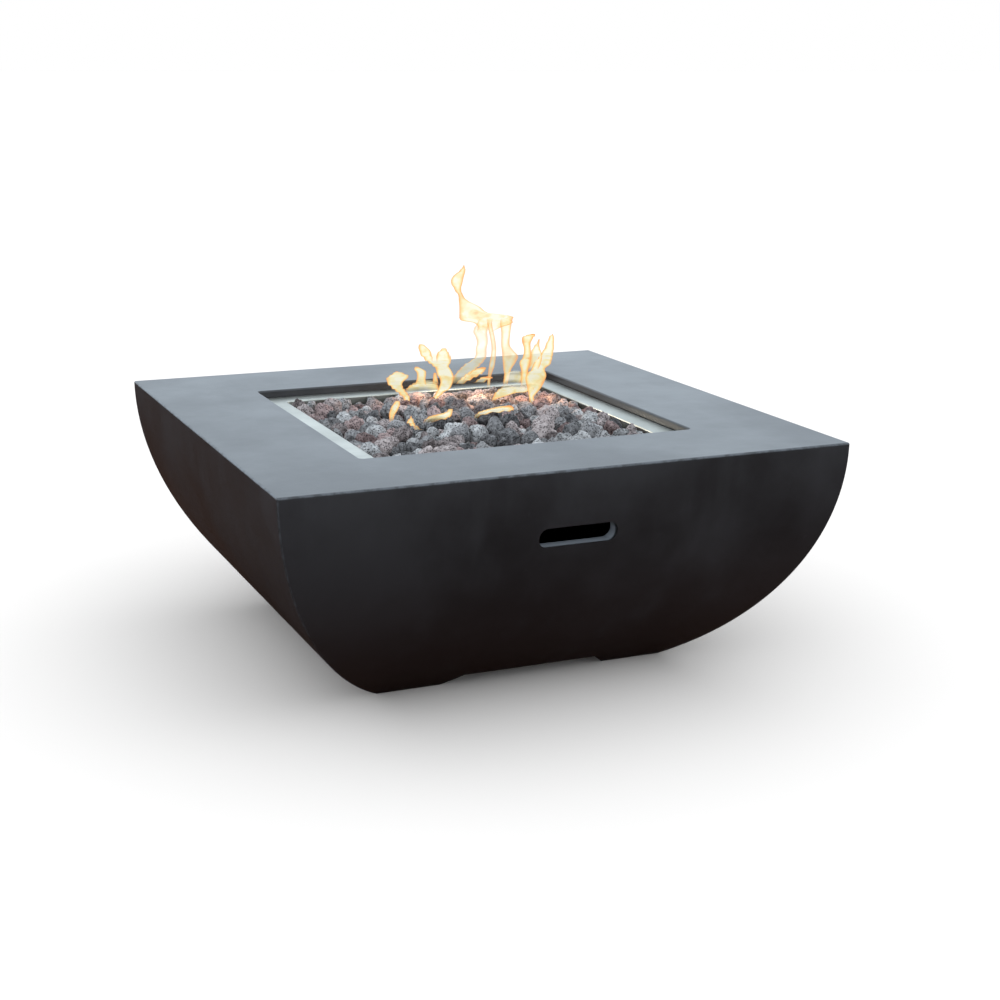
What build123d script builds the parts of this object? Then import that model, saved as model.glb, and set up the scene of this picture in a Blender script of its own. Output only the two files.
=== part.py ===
from build123d import *
from math import sqrt
import os

os.makedirs("parts", exist_ok=True)

# A gas fire bowl in cast concrete. Millimetres, +Z up, origin on the ground under the middle of
# the bowl. The front (-Y) and the back (+Y) carry a hand slot, the right side (+X) the controls.

# ---- driving dimensions ----
bowl_width = 864.0          # square top, outside
bowl_height = 362.0
foot_width = 468.0          # square foot, outside
wall = 22.0                 # concrete at the rim
foot_ring = 50.0            # concrete at the ground
top_slab = 22.0             # concrete of the flat top
edge_round = 3.0

opening = 524.0             # square fire opening in the top
opening_corner = 6.0
ledge_depth = 13.5          # top face down to the ledge that carries the pan
ledge_width = 14.0
collar_width = 26.0         # downstand round the opening
collar_depth = 36.0

slot_width = 120.0
slot_height = 29.0
slot_corner = 13.0
slot_drop = 96.5            # top face down to the middle of the slot

relief_height = 22.0        # relief under each side of the foot
relief_top_width = 214.0
relief_foot_width = 268.0

sheet = 1.5                 # stainless sheet of pan and bracket
pan_clearance = 2.0         # pan flange to the opening, each side
flange_width = 36.0
pan_depth = 72.0
pan_corner = 6.0
fold_radius = 1.5           # inside radius of the fold under the flange
drain_radius = 5.0
drain_inset = 40.0          # drain hole to the pan wall

ring_diameter = 280.0       # burner ring, middle of the channel
channel_width = 20.0        # folded box section of the ring
channel_corner = 2.0
channel_wall = 1.2
cross_radius = 8.0          # tube across the ring
ring_gap = 5.0              # pan floor to the burner ring
jet_radius = 1.3
jet_count = 24
cross_jets = 4              # jets on each half of the cross tube
hub_radius = 18.0
nipple_radius = 10.5
nipple_bore = 7.0
nipple_drop = 26.0          # nipple below the pan
thread_clearance = 0.1
locknut_flats = 32.0
locknut_height = 8.0

mixer_radius = 15.0
mixer_length = 44.0
mixer_socket = 12.0         # depth of the nipple in the mixer
mixer_throat = 8.0          # radius of the mixing throat
air_window = (9.0, 14.0)
spud_radius = 5.0
spud_depth = 8.0
spud_flats = 16.0
spud_hex = 7.0
jet_bore = 0.9

flare_radius = 6.5          # thread of the small flare joints
flare_length = 11.0
flare_nut_flats = 17.0
flare_nut_length = 16.0
nut_gap = 1.0               # hexagon to the nut
feed_radius = 4.0
feed_wall = 0.9
feed_straight = 2.0         # tube between a nut and its first bend
feed_bend = 16.0

panel_drop = 90.0           # top face down to the middle of the control panel
pocket_depth = 26.0         # bowl side to the pocket floor
pocket_margin = 3.0         # panel to the pocket wall
boss_thickness = 18.0       # concrete behind the panel
boss_margin = 18.0
panel_size = (160.0, 70.0)
panel_corner = 5.0
panel_thickness = 1.5
window_size = (124.0, 50.0)
panel_screw_inset = 7.0
screw_radius = 2.0
screw_clearance = 0.2
screw_head = 3.8
screw_head_height = 2.2
panel_screw_length = 12.0
insert_radius = 3.2
insert_length = 13.0

knob_y = -34.0
knob_radius = 20.0
knob_length = 17.0
knob_travel = 5.0
knob_clearance = 0.8        # knob, pushed in, to the screw heads
knob_skirt = 2.0
stem_radius = 4.0
stem_in_valve = 25.0
stem_in_knob = 12.0
running_clearance = 0.05
seat_clearance = 0.02
plunger_radius = 2.5
plunger_length = 10.0
plunger_head = (3.4, 3.0)
plunger_gap = 0.2           # stem end to the plunger

valve_length = 60.0
valve_width = 34.0
valve_height = 42.0
valve_screw_pitch = 28.0
valve_screw_length = 9.0
outlet_setback = 40.0       # panel to the middle of the valve outlet
outlet_boss = 6.0
inlet_setback = 18.0        # rear of the valve to the inlet axis
inlet_flare_radius = 7.94   # 5/8-18 UNF, the 3/8 in SAE flare thread
inlet_flare_length = 15.0
inlet_flats = 19.0
inlet_hex = 8.0
inlet_spigot = (6.0, 8.0)
inlet_bore = 3.6
probe_drop = 13.0           # probe socket below the stem axis

igniter_y = 38.0
barrel_radius = 11.5
barrel_flange = (16.0, 2.5)
barrel_end = 3.0
igniter_nut_flats = 30.0
igniter_nut_height = 7.0
cap_radius = 13.5
cap_length = 8.0
button_radius = 7.2
button_length = 6.0         # button in front of its cap
button_travel = 4.0
button_flange = (8.7, 3.0)
button_chamber = 9.0
cell_radius = 7.2
cell_length = 50.0
cell_clearance = 0.4

sensor_offset = 26.0        # middle of the burner ring to the sensors
sensor_spacing = 24.0
bracket_width = 22.0
bracket_length = 74.0
shield_height = 34.0
bracket_screw_inset = 7.0
insulator_radius = 3.5
insulator_above = 22.0      # above the bracket
insulator_below = 18.0      # below the pan
insulator_collar = (5.5, 4.0)
rod_radius = 1.2
rod_above = 14.0
rod_below = 4.0
probe_radius = 3.0
probe_above = 36.0
probe_below = 12.0
probe_collar = (5.0, 3.0)
hole_clearance = 0.3
wire_radius = 1.5
lead_radius = 1.2
wire_rise = 26.0            # last upright stretch of wire and lead
wire_bend = 14.0
wire_run = 34.0             # level stretch of wire and lead under the pan
probe_nut_flats = 10.0
probe_nut_length = 10.0

bed_clearance = 0.5         # rocks to the pan walls
bed_to_burner = 2.0
crown_rise = 10.0           # rocks above the flange in the middle
crown_inset = 56.0


# ---- places worked out from the sizes ----
def side_radius(top_half, foot_half):
    inset = top_half - foot_half
    return (inset**2 + bowl_height**2) / (2 * inset)


def half_width(z, top_half, foot_half):
    """Half the width of a curved side at height z: an arc, upright where it meets the top."""
    radius = side_radius(top_half, foot_half)
    return top_half - radius + sqrt(radius**2 - (bowl_height - z)**2)


outer_halves = (bowl_width / 2, foot_width / 2)
inner_halves = (bowl_width / 2 - wall, foot_width / 2 - foot_ring)

ledge_z = bowl_height - ledge_depth
pan_outer = opening - 2 * pan_clearance - 2 * flange_width + 2 * sheet
pan_inner = pan_outer - 2 * sheet
pan_under = ledge_z - pan_depth
pan_floor = pan_under + sheet
ring_radius = ring_diameter / 2
ring_z = pan_floor + ring_gap + channel_width / 2
ring_top = ring_z + channel_width / 2
nipple_end = pan_under - nipple_drop
mixer_top = nipple_end + mixer_socket
mixer_end = mixer_top - mixer_length
spud_end = mixer_end - spud_hex

panel_z = bowl_height - panel_drop
pocket_x = half_width(panel_z, *outer_halves) - pocket_depth
panel_x = pocket_x + panel_thickness
valve_x = pocket_x - valve_length
outlet_x = pocket_x - outlet_setback
outlet_z = panel_z - valve_height / 2 - outlet_boss
inlet_x = valve_x + inlet_setback
inlet_y = knob_y - valve_width / 2
probe_socket_z = panel_z - probe_drop

sensor_x = ring_radius + sensor_offset
electrode_y = sensor_spacing / 2
probe_y = -sensor_spacing / 2
bracket_top = pan_floor + sheet


def save(name, shape):
    export_step(shape, f"parts/{name}.step")


def bar(radius, start, end, height_y=0.0, height_z=0.0):
    """A round bar along X from start to end."""
    middle = Pos((start + end) / 2, height_y, height_z)
    return middle * Rot(0, 90, 0) * Cylinder(radius, abs(end - start))


def post(radius, low, high, x=0.0, y=0.0):
    """A round post along Z from low to high."""
    return Pos(x, y, (low + high) / 2) * Cylinder(radius, high - low)


def slab(size_x, size_y, low, high, corner=0.0):
    """A plate with upright sides, centred on the origin, from low to high."""
    outline = RectangleRounded(size_x, size_y, corner) if corner else Rectangle(size_x, size_y)
    return Pos(0, 0, low) * extrude(outline, high - low)


def hex_prism(flats, height):
    return extrude(RegularPolygon(flats / 2, 6, major_radius=False), height)


def group(shapes):
    return Compound(children=list(shapes))


def reach(edge):
    """How far an edge is from the middle of the bowl, along X or Y."""
    return max(abs(edge.center().X), abs(edge.center().Y))


# ---- bowl: four equal curved sides meet in a crease on each diagonal ----
def curved_block(halves, low, high):
    places = [(half_width(z, *halves), z) for z in (low, (low + high) / 2, high)]
    mirrored = [(-x, z) for x, z in places]
    outline = [
        ThreePointArc(*places),
        Line(places[2], mirrored[2]),
        ThreePointArc(*mirrored[::-1]),
        Line(mirrored[0], places[0]),
    ]
    prism = extrude(Plane.XZ * make_face(outline), bowl_width, both=True)
    return prism & Rot(0, 0, 90) * prism


outer = curved_block(outer_halves, 0, bowl_height)
creases = [edge for edge in outer.edges() if edge.bounding_box().size.Z > 1]
top_edges = outer.edges().group_by(Axis.Z)[-1]
outer_rounded = fillet(creases + list(top_edges), edge_round)

bowl = outer_rounded - curved_block(inner_halves, 0, bowl_height - top_slab)
bowl += slab(
    opening + 2 * collar_width, opening + 2 * collar_width,
    bowl_height - collar_depth, bowl_height - top_slab / 2,
)

boss_low = panel_z - panel_size[1] / 2 - pocket_margin - boss_margin
boss_high = bowl_height - top_slab / 2
boss_inner = pocket_x - boss_thickness
boss_reach = bowl_width / 2 - boss_inner
boss_width = panel_size[0] + 2 * (pocket_margin + boss_margin)
boss = Pos(boss_inner + boss_reach / 2, 0, (boss_low + boss_high) / 2) * Box(
    boss_reach, boss_width, boss_high - boss_low
)
bowl += boss & outer

bowl -= slab(opening, opening, ledge_z, bowl_height, opening_corner)
well = opening - 2 * ledge_width
bowl -= slab(well, well, bowl_height - collar_depth, bowl_height, opening_corner)
rim_edges = [
    edge for edge in bowl.edges().group_by(Axis.Z)[-1]
    if reach(edge) < opening / 2 + 1
]
bowl = fillet(rim_edges, edge_round)

slot_face = Plane.XZ * Pos(0, bowl_height - slot_drop) * RectangleRounded(
    slot_width, slot_height, slot_corner
)
bowl -= extrude(slot_face, bowl_width, both=True)

relief = make_face(Polyline(
    (-relief_foot_width / 2, 0), (relief_foot_width / 2, 0),
    (relief_top_width / 2, relief_height), (-relief_top_width / 2, relief_height),
    close=True,
))
relief_bar = extrude(Plane.XZ * relief, bowl_width, both=True)
bowl -= relief_bar
bowl -= Rot(0, 0, 90) * relief_bar


def on_panel(x, y, z, shape):
    """Lays a shape drawn flat in XY on the panel side, facing +X."""
    return Pos(x, y, z) * Rot(0, 90, 0) * Rot(0, 0, 90) * shape


pocket_size = [side + 2 * pocket_margin for side in panel_size]
bowl -= on_panel(pocket_x, 0, panel_z, extrude(
    RectangleRounded(*pocket_size, panel_corner + pocket_margin), 2 * pocket_depth + bowl_width / 8
))
bowl -= on_panel(boss_inner - wall, 0, panel_z, extrude(
    RectangleRounded(*window_size, panel_corner), boss_thickness + 2 * wall
))
panel_screw_places = [
    (side * (panel_size[0] / 2 - panel_screw_inset), panel_z + up * (panel_size[1] / 2 - panel_screw_inset))
    for side in (-1, 1) for up in (-1, 1)
]
for y, z in panel_screw_places:
    bowl -= bar(insert_radius, pocket_x - insert_length, pocket_x, y, z)
save("bowl_shell", bowl)

# ---- panel inserts: knurled brass sleeves cast into the pocket floor ----
insert = bar(insert_radius, -insert_length, 0) - bar(screw_radius + running_clearance, -insert_length, 0)
save("panel_inserts", group(Pos(pocket_x, y, z) * insert for y, z in panel_screw_places))

# ---- burner pan: folded stainless sheet, hung by its flange ----
flange_outer = opening - 2 * pan_clearance
pan = slab(flange_outer, flange_outer, ledge_z, ledge_z + sheet, opening_corner - pan_clearance)
pan += slab(pan_outer, pan_outer, pan_under, ledge_z + sheet, pan_corner + sheet)
pan -= slab(pan_inner, pan_inner, pan_floor, ledge_z + sheet, pan_corner)
top_bend = pan.edges().filter_by_position(Axis.Z, ledge_z + sheet, ledge_z + sheet)
pan = fillet([edge for edge in top_bend if reach(edge) < pan_outer / 2], fold_radius + sheet)
under_bend = pan.edges().filter_by_position(Axis.Z, ledge_z, ledge_z)
pan = fillet([edge for edge in under_bend if reach(edge) < pan_outer / 2 + sheet], fold_radius)
pan -= post(nipple_radius + hole_clearance, pan_under, pan_floor)
drain_place = pan_inner / 2 - drain_inset
for x in (-drain_place, drain_place):
    for y in (-drain_place, drain_place):
        pan -= post(drain_radius, pan_under, pan_floor, x, y)
bracket_screw_y = bracket_length / 2 - bracket_screw_inset
for y in (-bracket_screw_y, bracket_screw_y):
    pan -= post(screw_radius + screw_clearance, pan_under, pan_floor, sensor_x, y)
pan -= post(insulator_radius + hole_clearance, pan_under, pan_floor, sensor_x, electrode_y)
pan -= post(probe_radius + hole_clearance, pan_under, pan_floor, sensor_x, probe_y)
save("burner_pan", pan)

# ---- burner ring: a drilled box-section ring with a cross tube, a hub and a threaded nipple ----
def ring_of(width, corner):
    section = Pos(ring_radius, 0, ring_z) * Rot(90, 0, 0) * RectangleRounded(width, width, corner)
    return revolve(section, Axis.Z)


cross_bore = cross_radius - channel_wall
ring = ring_of(channel_width, channel_corner)
ring += bar(cross_radius, -ring_radius, ring_radius, 0, ring_z)
ring += post(hub_radius, pan_floor, ring_top)
ring += post(nipple_radius, nipple_end, pan_floor)
ring -= ring_of(channel_width - 2 * channel_wall, channel_corner - channel_wall)
ring -= bar(cross_bore, -ring_radius, ring_radius, 0, ring_z)
ring -= post(nipple_bore, nipple_end, ring_z)
jet_step = 360 / jet_count
for number in range(jet_count):
    jet = post(jet_radius, ring_z, ring_top + 1, ring_radius, 0)
    ring -= Rot(0, 0, (number + 0.5) * jet_step) * jet
cross_step = (ring_radius - hub_radius - channel_width / 2) / (cross_jets + 1)
for number in range(1, cross_jets + 1):
    for side in (-1, 1):
        jet_x = side * (hub_radius + number * cross_step)
        ring -= post(jet_radius, ring_z, ring_z + cross_radius + 1, jet_x, 0)
save("burner_ring", ring)

locknut = hex_prism(locknut_flats, locknut_height) - Pos(0, 0, locknut_height / 2) * Cylinder(
    nipple_radius + thread_clearance, locknut_height
)
save("burner_locknut", Pos(0, 0, pan_under - locknut_height) * locknut)

# ---- air mixer and gas orifice, in line under the nipple ----
mixer = post(mixer_radius, mixer_end, mixer_top)
mixer -= post(nipple_radius + thread_clearance, nipple_end, mixer_top)
mixer -= post(mixer_throat, mixer_end + spud_depth, nipple_end)
mixer -= post(spud_radius + running_clearance, mixer_end, mixer_end + spud_depth)
window_z = mixer_end + spud_depth + 1.5 + air_window[1] / 2
mixer -= Pos(0, 0, window_z) * Box(air_window[0], 2 * mixer_radius, air_window[1])
save("air_mixer", mixer)


def flare_end(radius, length, bore):
    """A male flare end along +Z: thread, then a 45 degree nose."""
    nose = radius - bore - 1.0
    thread = Pos(0, 0, (length - nose) / 2) * Cylinder(radius - 0.4, length - nose)
    cone = Pos(0, 0, length - nose / 2) * Cone(radius - 0.4, bore + 0.6, nose)
    return thread + cone - Pos(0, 0, length / 2) * Cylinder(bore, length)


feed_bore = feed_radius - feed_wall
orifice = Pos(0, 0, spud_end) * hex_prism(spud_flats, spud_hex)
orifice += post(spud_radius, mixer_end, mixer_end + spud_depth + 1)
orifice -= post(jet_bore, spud_end, mixer_end + spud_depth + 1)
orifice -= post(feed_bore, spud_end, mixer_end + spud_depth - 2)
orifice += Pos(0, 0, spud_end) * Rot(180, 0, 0) * flare_end(flare_radius, flare_length, feed_bore)
save("gas_orifice", orifice)


def flare_nut():
    """A flare nut along +Z: threaded skirt up to the shoulder, then the tube hole."""
    nut = hex_prism(flare_nut_flats, flare_nut_length)
    skirt = flare_length - 1.0
    nut -= Pos(0, 0, skirt / 2) * Cylinder(flare_radius - 0.4 + thread_clearance, skirt)
    nut -= Pos(0, 0, flare_nut_length / 2) * Cylinder(feed_radius + thread_clearance, flare_nut_length)
    return nut


save("feed_nut_mixer", Pos(0, 0, spud_end - nut_gap) * Rot(180, 0, 0) * flare_nut())
save("feed_nut_valve", Pos(outlet_x, knob_y, outlet_z - nut_gap) * Rot(180, 0, 0) * flare_nut())

# ---- feed tube: down from the mixer, across, and up into the valve outlet ----
feed_start = spud_end - flare_length
feed_finish = outlet_z - flare_length
nut_past_flare = flare_nut_length + nut_gap - flare_length
feed_low = min(feed_start, feed_finish) - nut_past_flare - feed_straight - feed_bend
feed_path = FilletPolyline(
    (0, 0, feed_start), (0, 0, feed_low), (outlet_x, knob_y, feed_low), (outlet_x, knob_y, feed_finish),
    radius=feed_bend,
)
feed_section = Plane(origin=(0, 0, feed_start), z_dir=(0, 0, -1)) * (Circle(feed_radius) - Circle(feed_bore))
save("feed_tube", sweep(feed_section, feed_path))

# ---- control panel: brushed plate screwed over the window ----
panel_plate = on_panel(pocket_x, 0, panel_z, extrude(
    RectangleRounded(*panel_size, panel_corner), panel_thickness
))
plate_hole = stem_radius + 1.0
panel_plate -= bar(plate_hole, pocket_x, panel_x, knob_y, panel_z)
panel_plate -= bar(barrel_radius + hole_clearance, pocket_x, panel_x, igniter_y, panel_z)
valve_screw_places = [panel_z + side * valve_screw_pitch / 2 for side in (-1, 1)]
for z in valve_screw_places:
    panel_plate -= bar(screw_radius + screw_clearance, pocket_x, panel_x, knob_y, z)
for y, z in panel_screw_places:
    panel_plate -= bar(screw_radius + screw_clearance, pocket_x, panel_x, y, z)
save("control_panel", panel_plate)


def screw(length):
    """A pan head screw along -X, its head standing on x = 0."""
    head = bar(screw_head, 0, screw_head_height)
    head = fillet(head.edges().sort_by(Axis.X)[-1], 1.0)
    recess = Pos(screw_head_height, 0, 0) * (Box(2, 4.0, 1.0) + Box(2, 1.0, 4.0))
    return head + bar(screw_radius, -length, 0) - recess


save("panel_screws", group(
    Pos(panel_x, y, z) * screw(panel_screw_length) for y, z in panel_screw_places
))
save("valve_screws", group(
    Pos(panel_x, knob_y, z) * screw(valve_screw_length) for z in valve_screw_places
))

# ---- gas valve: brass block behind the panel, outlet below, inlet behind ----
stem_end = pocket_x - stem_in_valve
chamber_end = stem_end - knob_travel - 1.0
plunger_front = stem_end - plunger_gap
plunger_end = plunger_front - plunger_head[1] - plunger_length
valve = Pos((valve_x + pocket_x) / 2, knob_y, panel_z) * Box(valve_length, valve_width, valve_height)
valve = fillet(valve.edges().filter_by(Axis.X), 2.0)
valve += Pos(outlet_x, knob_y, outlet_z + outlet_boss) * Rot(180, 0, 0) * hex_prism(spud_flats, outlet_boss)
valve -= bar(stem_radius + running_clearance, stem_end - 0.5, pocket_x, knob_y, panel_z)
valve -= bar(stem_radius + running_clearance, chamber_end - plunger_head[1], stem_end, knob_y, panel_z)
valve -= bar(plunger_radius + running_clearance, plunger_end - knob_travel - 1, stem_end, knob_y, panel_z)
for z in valve_screw_places:
    valve -= bar(
        screw_radius + running_clearance, pocket_x - valve_screw_length, pocket_x, knob_y, z
    )
inlet_bore_place = Pos(inlet_x, inlet_y + inlet_spigot[1] / 2, panel_z) * Rot(90, 0, 0)
valve -= inlet_bore_place * Cylinder(inlet_spigot[0] + running_clearance, inlet_spigot[1])
valve -= bar(lead_radius + 2.8, valve_x, valve_x + 6, knob_y, probe_socket_z)
valve -= post(feed_bore, outlet_z, panel_z - plunger_radius - 3, outlet_x, knob_y)
valve += Pos(outlet_x, knob_y, outlet_z) * Rot(180, 0, 0) * flare_end(flare_radius, flare_length, feed_bore)
save("valve_body", valve)

inlet = flare_end(inlet_flare_radius + 0.4, inlet_flare_length, inlet_bore)
inlet = Pos(0, 0, inlet_hex) * inlet + hex_prism(inlet_flats, inlet_hex)
inlet += Pos(0, 0, -inlet_spigot[1] / 2) * Cylinder(inlet_spigot[0], inlet_spigot[1])
inlet_total = inlet_hex + inlet_flare_length + inlet_spigot[1]
inlet -= Pos(0, 0, inlet_total / 2 - inlet_spigot[1]) * Cylinder(inlet_bore, inlet_total)
save("gas_inlet_fitting", Pos(inlet_x, inlet_y, panel_z) * Rot(90, 0, 0) * inlet)

plunger = bar(plunger_head[0], plunger_front - plunger_head[1], plunger_front, knob_y, panel_z)
plunger += bar(plunger_radius, plunger_end, plunger_front, knob_y, panel_z)
save("valve_push_pin", plunger)

# ---- knob and stem, pushed in and turned together ----
knob_back = panel_x + screw_head_height + knob_travel + knob_clearance
stem_tip = knob_back + stem_in_knob
stem = bar(stem_radius, stem_end, stem_tip, knob_y, panel_z)
flat_depth = 1.2
stem -= Pos((knob_back + stem_tip) / 2, knob_y, panel_z + stem_radius - flat_depth / 2) * Box(
    stem_in_knob, 2 * stem_radius, flat_depth
)
save("valve_stem", stem)

knob = Cylinder(knob_radius, knob_skirt, align=(Align.CENTER, Align.CENTER, Align.MIN))
knob += Pos(0, 0, knob_skirt) * Cone(
    knob_radius - 1.5, knob_radius - 3.0, knob_length - 5, align=(Align.CENTER, Align.CENTER, Align.MIN)
)
knob = fillet(knob.edges().group_by(Axis.Z)[-1], 1.5)
grip_count = 18
grip_radius = 1.6
for number in range(grip_count):
    groove = Pos(knob_radius - 1.2, 0, knob_skirt) * Cylinder(
        grip_radius, knob_length, align=(Align.CENTER, Align.CENTER, Align.MIN)
    )
    knob -= Rot(0, 0, number * 360 / grip_count) * groove
pointer_height = knob_length - knob_skirt
pointer = Pos(0, 0, knob_skirt) * extrude(
    RectangleRounded(2 * knob_radius - 8, 7.0, 3.0), pointer_height
)
pointer = fillet(pointer.edges().group_by(Axis.Z)[-1], 1.5)
knob += pointer
socket = Cylinder(stem_radius + seat_clearance, stem_in_knob, align=(Align.CENTER, Align.CENTER, Align.MIN))
flat_height = stem_radius - flat_depth + seat_clearance
key = Pos(0, flat_height + stem_radius, stem_in_knob / 2) * Box(
    4 * stem_radius, 2 * stem_radius, stem_in_knob
)
knob -= socket - key
save("control_knob", on_panel(knob_back, knob_y, panel_z, knob))

# ---- push-button igniter: barrel through the panel, cell inside, cap and button in front ----
flange_front = panel_x + barrel_flange[1]
button_back = flange_front - button_flange[1]
cell_front = button_back - button_travel - 1.0
cell_back = cell_front - cell_length
barrel_back = cell_back - barrel_end
barrel = bar(barrel_radius, barrel_back, panel_x, igniter_y, panel_z)
barrel += bar(barrel_flange[0], panel_x, flange_front, igniter_y, panel_z)
barrel -= bar(cell_radius + cell_clearance, cell_back, flange_front, igniter_y, panel_z)
barrel -= bar(button_chamber, cell_front, flange_front, igniter_y, panel_z)
save("igniter_body", barrel)

igniter_nut = hex_prism(igniter_nut_flats, igniter_nut_height) - Pos(0, 0, igniter_nut_height / 2) * (
    Cylinder(barrel_radius + thread_clearance, igniter_nut_height)
)
save("igniter_nut", on_panel(pocket_x - igniter_nut_height, igniter_y, panel_z, igniter_nut))

cap_front = flange_front + cap_length
cap = bar(cap_radius, flange_front, cap_front, igniter_y, panel_z)
cap = fillet(cap.edges().group_by(Axis.X)[-1], 2.0)
cap -= bar(button_radius + running_clearance, flange_front, cap_front, igniter_y, panel_z)
save("igniter_cap", cap)

button = bar(button_radius, button_back, cap_front + button_length, igniter_y, panel_z)
button = fillet(button.edges().group_by(Axis.X)[-1], 1.5)
button += bar(button_flange[0], button_back, flange_front, igniter_y, panel_z)
save("igniter_button", button)

save("igniter_battery", bar(cell_radius, cell_back, cell_front, igniter_y, panel_z))

# ---- sensor bracket in the pan, with electrode and thermocouple ----
bracket = Pos(sensor_x, 0, pan_floor + sheet / 2) * Box(bracket_width, bracket_length, sheet)
shield_x = sensor_x + bracket_width / 2 - sheet / 2
bracket += Pos(shield_x, 0, pan_floor + shield_height / 2) * Box(sheet, bracket_length, shield_height)
bracket -= post(insulator_radius + hole_clearance, pan_floor, bracket_top, sensor_x, electrode_y)
bracket -= post(probe_radius + hole_clearance, pan_floor, bracket_top, sensor_x, probe_y)
for y in (-bracket_screw_y, bracket_screw_y):
    bracket -= post(screw_radius + screw_clearance, pan_floor, bracket_top, sensor_x, y)
save("sensor_bracket", bracket)

bracket_screw_length = 2 * sheet + 5.0
small_screw = Rot(0, -90, 0) * screw(bracket_screw_length)
save("bracket_screws", group(
    Pos(sensor_x, y, bracket_top) * small_screw for y in (-bracket_screw_y, bracket_screw_y)
))
nut_height = 3.2
small_nut = hex_prism(7.0, nut_height) - Pos(0, 0, nut_height / 2) * Cylinder(
    screw_radius + running_clearance, nut_height
)
save("bracket_nuts", group(
    Pos(sensor_x, y, pan_under - nut_height) * small_nut for y in (-bracket_screw_y, bracket_screw_y)
))

insulator_top = bracket_top + insulator_above
insulator_end = pan_under - insulator_below
insulator = post(insulator_radius, insulator_end, insulator_top, sensor_x, electrode_y)
insulator += post(
    insulator_collar[0], bracket_top, bracket_top + insulator_collar[1], sensor_x, electrode_y
)
rod_end = insulator_end - rod_below
rod_top = insulator_top + rod_above
insulator -= post(rod_radius + running_clearance, insulator_end, insulator_top, sensor_x, electrode_y)
save("electrode_insulator", insulator)
save("electrode_rod", post(rod_radius, rod_end, rod_top, sensor_x, electrode_y))

probe_end = pan_under - probe_below
probe = post(probe_radius, probe_end, bracket_top + probe_above - 8, sensor_x, probe_y)
probe += post(probe_radius - 1, probe_end, bracket_top + probe_above, sensor_x, probe_y)
probe += post(probe_collar[0], bracket_top, bracket_top + probe_collar[1], sensor_x, probe_y)
save("thermocouple", probe)


# ---- wire and lead, clear of the pan and the valve ----
def run(radius, points):
    path = FilletPolyline(*points, radius=wire_bend)
    start = Plane(origin=points[0], z_dir=Vector(*points[1]) - Vector(*points[0]))
    return sweep(start * Circle(radius), path)


wire_turn = (pan_outer / 2 + barrel_back) / 2
save("igniter_wire", run(wire_radius, [
    (barrel_back, igniter_y, panel_z), (wire_turn, igniter_y, panel_z),
    (sensor_x + wire_run, electrode_y, rod_end - wire_rise),
    (sensor_x, electrode_y, rod_end - wire_rise),
    (sensor_x, electrode_y, rod_end),
]))

probe_nut = hex_prism(probe_nut_flats, probe_nut_length) - Pos(0, 0, probe_nut_length / 2) * Cylinder(
    lead_radius + thread_clearance, probe_nut_length
)
save("thermocouple_nut", Pos(valve_x, knob_y, probe_socket_z) * Rot(0, -90, 0) * probe_nut)
lead_turn = valve_x - probe_nut_length - 2 * wire_bend
save("thermocouple_lead", run(lead_radius, [
    (valve_x + 4, knob_y, probe_socket_z), (lead_turn, knob_y, probe_socket_z),
    (sensor_x + wire_run, probe_y, probe_end - wire_rise),
    (sensor_x, probe_y, probe_end - wire_rise),
    (sensor_x, probe_y, probe_end),
]))

# ---- lava rocks: the bed that fills the pan and covers the burner ----
flange_top = ledge_z + sheet
bed_width = pan_inner - 2 * bed_clearance
bed = slab(bed_width, bed_width, pan_floor, flange_top, pan_corner)
crown_low = Plane.XY.offset(flange_top) * Rectangle(bed_width - 20, bed_width - 20)
crown_high = Plane.XY.offset(flange_top + crown_rise) * Rectangle(
    bed_width - 2 * crown_inset, bed_width - 2 * crown_inset
)
bed += loft([crown_low, crown_high])
channel_top = ring_top + bed_to_burner
channel_half = channel_width / 2 + bed_to_burner
bed -= post(ring_radius + channel_half, pan_floor, channel_top) - post(
    ring_radius - channel_half, pan_floor, channel_top
)
bed -= Pos(0, 0, (pan_floor + channel_top) / 2) * Box(
    2 * ring_radius, 2 * (cross_radius + bed_to_burner), channel_top - pan_floor
)
bed -= post(hub_radius + bed_to_burner, pan_floor, channel_top)
cage_top = max(rod_top, bracket_top + probe_above, pan_floor + shield_height) + bed_to_burner
bed -= Pos(sensor_x, 0, (pan_floor + cage_top) / 2) * Box(
    bracket_width + 2 * bed_to_burner, bracket_length + 2 * bed_to_burner, cage_top - pan_floor
)
save("lava_rocks", bed)
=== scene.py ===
import bpy
import bmesh
import random
from math import cos, pi, radians, sin, sqrt
from mathutils import Euler, Matrix, Vector, noise


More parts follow.
